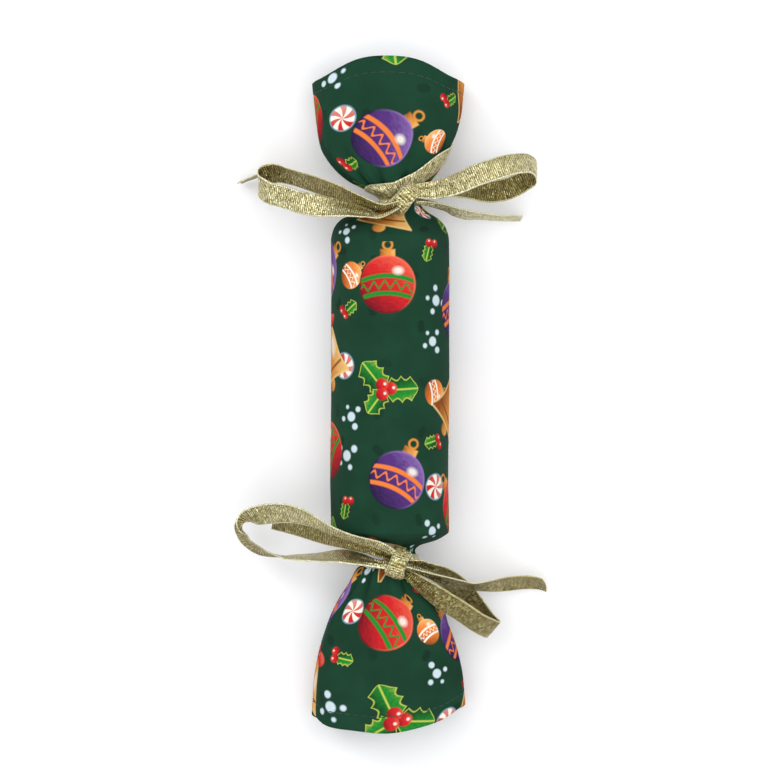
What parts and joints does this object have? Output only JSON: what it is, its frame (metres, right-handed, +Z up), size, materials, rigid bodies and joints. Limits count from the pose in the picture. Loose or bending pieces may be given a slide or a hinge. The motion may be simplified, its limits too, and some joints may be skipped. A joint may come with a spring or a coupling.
{
  "type": "christmas cracker",
  "caption": "Reusable cloth Christmas cracker: a printed sleeve over a card tube, gathered and tied with ribbon bows, with a pull snap and contents inside.",
  "frame": {"origin": "on the table, under the middle of the card tube, at the middle of the flat that the barrel rests on", "axes": "+Y along the cracker towards the far end, +X to the right seen from above, +Z up"},
  "size_m": [0.1403, 0.2997, 0.0548],
  "materials": {
    "cloth": "matte",
    "ribbon": "satin",
    "card": "matte",
    "snap_card": "matte",
    "snap_wrap": "matte",
    "crown_tissue": "matte",
    "motto_paper": "matte",
    "painted_wood": "gloss",
    "bare_wood": "satin"
  },
  "bodies": {
    "cracker": {"cloth_sleeve": "cloth", "card_tube": "card", "far_neck_band": "ribbon", "far_knot": "ribbon", "far_left_loop": "ribbon", "far_right_loop": "ribbon", "far_left_tail": "ribbon", "far_right_tail": "ribbon", "near_neck_band": "ribbon", "near_knot": "ribbon", "near_left_loop": "ribbon", "near_right_loop": "ribbon", "near_left_tail": "ribbon", "near_right_tail": "ribbon"},
    "snap_far": {"snap_strip_far": "snap_card"},
    "snap_near": {"snap_strip_near": "snap_card", "snap_band": "snap_wrap"},
    "crown": {"paper_crown": "crown_tissue"},
    "motto": {"motto_slip": "motto_paper"},
    "spinning_top": {"top_disc": "painted_wood", "top_spindle": "bare_wood"}
  },
  "joints": [
    {"name": "snap_pull_far", "type": "slide", "parent": "cracker", "child": "snap_far", "axis": [0, 1, 0], "range_m": [0, 0.044]},
    {"name": "snap_pull_near", "type": "slide", "parent": "cracker", "child": "snap_near", "axis": [0, -1, 0], "range_m": [0, 0.044]},
    {"name": "crown_slide", "type": "slide", "parent": "cracker", "child": "crown", "axis": [0, 1, 0], "range_m": [-0.022, 0.022]},
    {"name": "motto_slide", "type": "slide", "parent": "cracker", "child": "motto", "axis": [0, 1, 0], "range_m": [-0.036, 0.036]},
    {"name": "top_slide", "type": "slide", "parent": "cracker", "child": "spinning_top", "axis": [0, 1, 0], "range_m": [-0.048, 0.048]}
  ]
}
